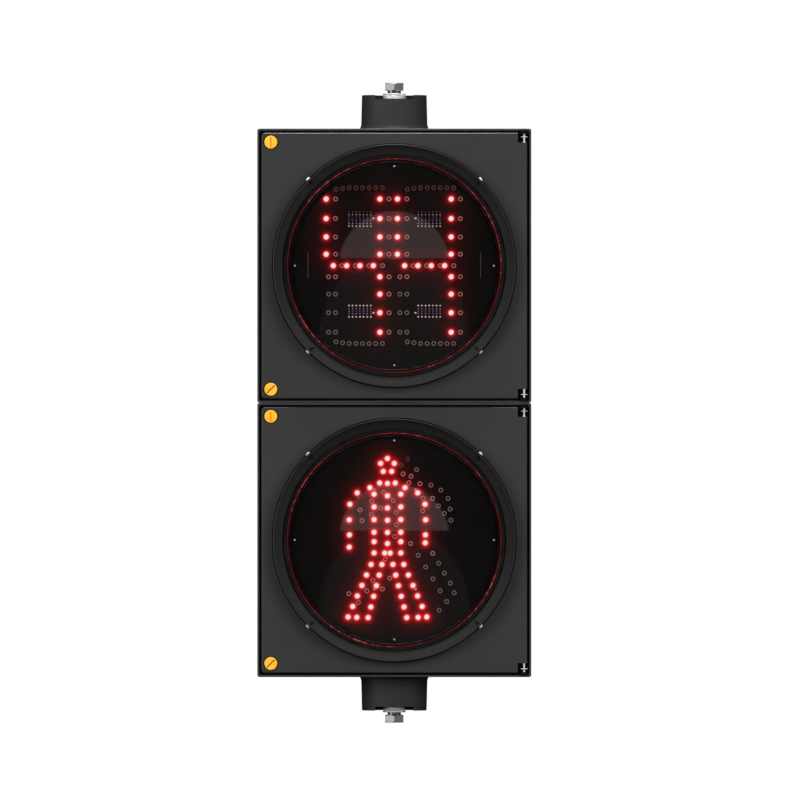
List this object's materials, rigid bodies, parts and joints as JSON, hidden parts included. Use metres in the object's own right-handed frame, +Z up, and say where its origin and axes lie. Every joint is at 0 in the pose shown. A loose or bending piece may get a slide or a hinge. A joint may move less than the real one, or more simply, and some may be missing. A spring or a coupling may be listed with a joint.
{
  "type": "pedestrian traffic light",
  "caption": "Black polycarbonate pedestrian signal: a digit display over a walking-figure display, hinged doors with clear lenses, and bolted round bosses at both ends.",
  "frame": {"origin": "centre of the top boss's end face, on the clamp bolts' axis", "axes": "+Z up along the signal's height, -Y towards the people who see it, +X towards its hinged side"},
  "size_m": [0.2682, 0.1523, 0.6278],
  "materials": {
    "housing_plastic": "moulded black polycarbonate, satin",
    "boss_plastic": "moulded dark grey polycarbonate, matt",
    "clear_lens": "clear polished polycarbonate",
    "seal_rubber": "matt black EPDM",
    "zinc_steel": "bright zinc plated",
    "latch_yellow": "moulded yellow nylon, satin",
    "led_circuit": "black solder mask with LEDs",
    "green_circuit": "green solder mask",
    "module_plastic": "moulded grey ABS",
    "terminal_plastic": "moulded cream nylon",
    "cable_sheath": "matt black sheath",
    "coupling_plastic": "moulded black nylon"
  },
  "bodies": {
    "signal_body": {"upper_housing": "housing_plastic", "upper_hinge_pin_top": "zinc_steel", "upper_hinge_pin_bottom": "zinc_steel", "upper_door_gasket": "seal_rubber", "upper_terminal_block": "terminal_plastic", "upper_supply_lead": "cable_sheath", "lower_housing": "housing_plastic", "lower_hinge_pin_top": "zinc_steel", "lower_hinge_pin_bottom": "zinc_steel", "lower_door_gasket": "seal_rubber", "lower_terminal_block": "terminal_plastic", "lower_supply_lead": "cable_sheath", "cable_grommet": "seal_rubber", "coupling_sleeve": "coupling_plastic", "coupling_nut": "coupling_plastic", "top_boss": "boss_plastic", "top_steel_washer": "zinc_steel", "top_lock_washer": "zinc_steel", "top_clamp_bolt": "zinc_steel", "top_nut_plate": "zinc_steel", "bottom_boss": "boss_plastic", "bottom_steel_washer": "zinc_steel", "bottom_lock_washer": "zinc_steel", "bottom_clamp_bolt": "zinc_steel", "bottom_nut_plate": "zinc_steel"},
    "upper_door": {"upper_door": "housing_plastic", "upper_lens": "clear_lens", "upper_lens_seal": "seal_rubber", "upper_led_board": "led_circuit", "upper_module_bowl": "module_plastic", "upper_driver_board": "green_circuit", "upper_module_lead": "cable_sheath", "upper_visor_screw_1": "zinc_steel", "upper_visor_screw_2": "zinc_steel", "upper_visor_screw_3": "zinc_steel", "upper_visor_screw_4": "zinc_steel", "upper_board_screw_1": "zinc_steel", "upper_board_screw_2": "zinc_steel", "upper_board_screw_3": "zinc_steel", "upper_board_screw_4": "zinc_steel"},
    "upper_latch_top": {"upper_latch_top": "latch_yellow"},
    "upper_latch_bottom": {"upper_latch_bottom": "latch_yellow"},
    "lower_door": {"lower_door": "housing_plastic", "lower_lens": "clear_lens", "lower_lens_seal": "seal_rubber", "lower_led_board": "led_circuit", "lower_module_bowl": "module_plastic", "lower_driver_board": "green_circuit", "lower_module_lead": "cable_sheath", "lower_visor_screw_1": "zinc_steel", "lower_visor_screw_2": "zinc_steel", "lower_visor_screw_3": "zinc_steel", "lower_visor_screw_4": "zinc_steel", "lower_board_screw_1": "zinc_steel", "lower_board_screw_2": "zinc_steel", "lower_board_screw_3": "zinc_steel", "lower_board_screw_4": "zinc_steel"},
    "lower_latch_top": {"lower_latch_top": "latch_yellow"},
    "lower_latch_bottom": {"lower_latch_bottom": "latch_yellow"}
  },
  "joints": [
    {"name": "upper_door_swing", "type": "hinge", "parent": "signal_body", "child": "upper_door", "pos_m": [0.1272, -0.0648, -0.1677], "axis": [0, 0, 1], "range_deg": [0, 120]},
    {"name": "lower_door_swing", "type": "hinge", "parent": "signal_body", "child": "lower_door", "pos_m": [0.1272, -0.0648, -0.4363], "axis": [0, 0, 1], "range_deg": [0, 120]},
    {"name": "upper_latch_top_turn", "type": "hinge", "parent": "upper_door", "child": "upper_latch_top", "pos_m": [-0.1209, -0.068, -0.0467], "axis": [0, 1, 0], "range_deg": [0, 90]},
    {"name": "upper_latch_bottom_turn", "type": "hinge", "parent": "upper_door", "child": "upper_latch_bottom", "pos_m": [-0.1209, -0.068, -0.2887], "axis": [0, 1, 0], "range_deg": [0, 90]},
    {"name": "lower_latch_top_turn", "type": "hinge", "parent": "lower_door", "child": "lower_latch_top", "pos_m": [-0.1209, -0.068, -0.3153], "axis": [0, 1, 0], "range_deg": [0, 90]},
    {"name": "lower_latch_bottom_turn", "type": "hinge", "parent": "lower_door", "child": "lower_latch_bottom", "pos_m": [-0.1209, -0.068, -0.5573], "axis": [0, 1, 0], "range_deg": [0, 90]}
  ]
}
